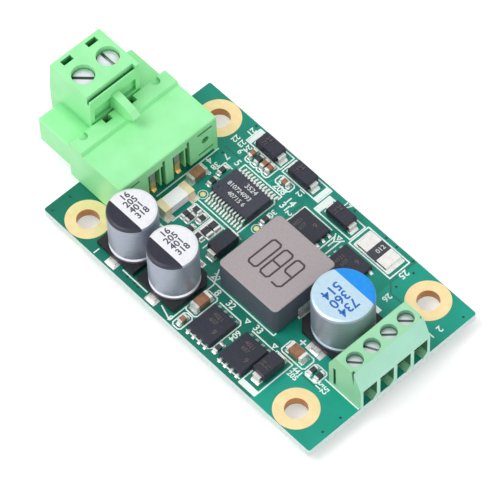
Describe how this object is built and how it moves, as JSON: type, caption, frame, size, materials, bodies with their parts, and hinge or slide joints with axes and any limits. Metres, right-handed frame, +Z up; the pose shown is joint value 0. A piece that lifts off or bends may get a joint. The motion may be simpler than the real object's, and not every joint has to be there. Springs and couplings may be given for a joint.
{
  "type": "buck-boost converter module",
  "caption": "Rectangular power converter board with a pluggable screw connector at one end, a screw terminal at the other, can capacitors and a square moulded inductor.",
  "frame": {"origin": "centre of the four mounting holes, on the underside of the circuit board", "axes": "+Z up, along the mounting holes and out of the component side; +X along the board's length, towards the screw terminal that is soldered down; the pluggable connector is at the -X end; +Y across the board, away from the two input can capacitors"},
  "size_m": [0.0717, 0.035, 0.019],
  "materials": {
    "circuit_board": "satin solder mask over glass-epoxy laminate",
    "gold": "thin gold over nickel",
    "tin": "tinned, slightly dull",
    "solder": "bright solder",
    "connector_plastic": "satin moulding",
    "screw_steel": "zinc plated",
    "cage_metal": "nickel plated",
    "contact_metal": "tin plated",
    "insert_metal": "plain",
    "can_metal": "drawn, satin",
    "black_plastic": "moulded",
    "pressed_powder": "pressed, matte",
    "white_ceramic": "matte",
    "brown_ceramic": "satin",
    "resistor_film": "glazed"
  },
  "bodies": {
    "module": {"board": "circuit_board", "gold_plating": "gold", "test_pads": "gold", "solder_pads": "tin", "header_housing": "connector_plastic", "header_pin_1": "tin", "header_pin_2": "tin", "header_inserts": "insert_metal", "terminal_housing": "connector_plastic", "terminal_pins": "tin", "solder_joints": "solder", "inductor_core": "pressed_powder", "inductor_terminals": "tin", "controller_body": "black_plastic", "controller_leads": "tin", "mosfet_leads": "tin", "diode_tabs": "tin", "sense_resistor_body": "resistor_film", "sense_resistor_ends": "tin", "fuse_body": "white_ceramic", "fuse_caps": "tin", "ceramic_chip_bodies": "brown_ceramic", "resistor_chip_bodies": "resistor_film", "chip_ends": "tin", "mosfet_body_1": "black_plastic", "mosfet_body_2": "black_plastic", "mosfet_body_3": "black_plastic", "mosfet_body_4": "black_plastic", "diode_body_1": "black_plastic", "diode_body_2": "black_plastic", "diode_body_3": "black_plastic", "diode_body_4": "black_plastic", "diode_body_5": "black_plastic", "input_capacitor_1_can": "can_metal", "input_capacitor_1_base": "black_plastic", "input_capacitor_1_tabs": "tin", "input_capacitor_2_can": "can_metal", "input_capacitor_2_base": "black_plastic", "input_capacitor_2_tabs": "tin", "output_capacitor_can": "can_metal", "output_capacitor_base": "black_plastic", "output_capacitor_tabs": "tin"},
    "plug": {"plug_housing": "connector_plastic", "plug_contact_1": "contact_metal", "plug_contact_2": "contact_metal"},
    "plug_screw_1": {"plug_screw_1": "screw_steel"},
    "plug_cage_1": {"plug_cage_1": "cage_metal"},
    "plug_screw_2": {"plug_screw_2": "screw_steel"},
    "plug_cage_2": {"plug_cage_2": "cage_metal"},
    "flange_screw_1": {"flange_screw_1": "screw_steel"},
    "flange_screw_2": {"flange_screw_2": "screw_steel"},
    "terminal_screw_1": {"terminal_screw_1": "screw_steel"},
    "terminal_cage_1": {"terminal_cage_1": "cage_metal"},
    "terminal_screw_2": {"terminal_screw_2": "screw_steel"},
    "terminal_cage_2": {"terminal_cage_2": "cage_metal"},
    "terminal_screw_3": {"terminal_screw_3": "screw_steel"},
    "terminal_cage_3": {"terminal_cage_3": "cage_metal"},
    "terminal_screw_4": {"terminal_screw_4": "screw_steel"},
    "terminal_cage_4": {"terminal_cage_4": "cage_metal"}
  },
  "joints": [
    {"name": "plug_pull", "type": "slide", "parent": "module", "child": "plug", "axis": [-1, 0, 0], "range_m": [0, 0.012]},
    {"name": "plug_screw_1_turn", "type": "hinge", "parent": "plug", "child": "plug_screw_1", "pos_m": [-0.03575, 0.00234, 0.014], "axis": [0, 0, -1], "range_deg": [0, 2450]},
    {"name": "plug_cage_1_rise", "type": "slide", "parent": "plug", "child": "plug_cage_1", "axis": [0, 0, 1], "range_m": [0, 0.0034]},
    {"name": "plug_screw_2_turn", "type": "hinge", "parent": "plug", "child": "plug_screw_2", "pos_m": [-0.03575, -0.00274, 0.014], "axis": [0, 0, -1], "range_deg": [0, 2450]},
    {"name": "plug_cage_2_rise", "type": "slide", "parent": "plug", "child": "plug_cage_2", "axis": [0, 0, 1], "range_m": [0, 0.0034]},
    {"name": "flange_screw_1_turn", "type": "hinge", "parent": "plug", "child": "flange_screw_1", "pos_m": [-0.0375, 0.00734, 0.0063], "axis": [1, 0, 0], "continuous": true},
    {"name": "flange_screw_2_turn", "type": "hinge", "parent": "plug", "child": "flange_screw_2", "pos_m": [-0.0375, -0.00774, 0.0063], "axis": [1, 0, 0], "continuous": true},
    {"name": "terminal_screw_1_turn", "type": "hinge", "parent": "module", "child": "terminal_screw_1", "pos_m": [0.0271, -0.00505, 0.0085], "axis": [0, 0, -1], "range_deg": [0, 1802]},
    {"name": "terminal_cage_1_rise", "type": "slide", "parent": "module", "child": "terminal_cage_1", "axis": [0, 0, 1], "range_m": [0, 0.002]},
    {"name": "terminal_screw_2_turn", "type": "hinge", "parent": "module", "child": "terminal_screw_2", "pos_m": [0.0271, -0.00155, 0.0085], "axis": [0, 0, -1], "range_deg": [0, 1802]},
    {"name": "terminal_cage_2_rise", "type": "slide", "parent": "module", "child": "terminal_cage_2", "axis": [0, 0, 1], "range_m": [0, 0.002]},
    {"name": "terminal_screw_3_turn", "type": "hinge", "parent": "module", "child": "terminal_screw_3", "pos_m": [0.0271, 0.00195, 0.0085], "axis": [0, 0, -1], "range_deg": [0, 1802]},
    {"name": "terminal_cage_3_rise", "type": "slide", "parent": "module", "child": "terminal_cage_3", "axis": [0, 0, 1], "range_m": [0, 0.002]},
    {"name": "terminal_screw_4_turn", "type": "hinge", "parent": "module", "child": "terminal_screw_4", "pos_m": [0.0271, 0.00545, 0.0085], "axis": [0, 0, -1], "range_deg": [0, 1802]},
    {"name": "terminal_cage_4_rise", "type": "slide", "parent": "module", "child": "terminal_cage_4", "axis": [0, 0, 1], "range_m": [0, 0.002]}
  ],
  "couplings": [
    {"joint": "plug_screw_1_turn", "follows": "plug_cage_1_rise", "rad_per_m": 12566},
    {"joint": "plug_screw_2_turn", "follows": "plug_cage_2_rise", "rad_per_m": 12566},
    {"joint": "terminal_screw_1_turn", "follows": "terminal_cage_1_rise", "rad_per_m": 15708},
    {"joint": "terminal_screw_2_turn", "follows": "terminal_cage_2_rise", "rad_per_m": 15708},
    {"joint": "terminal_screw_3_turn", "follows": "terminal_cage_3_rise", "rad_per_m": 15708},
    {"joint": "terminal_screw_4_turn", "follows": "terminal_cage_4_rise", "rad_per_m": 15708}
  ]
}
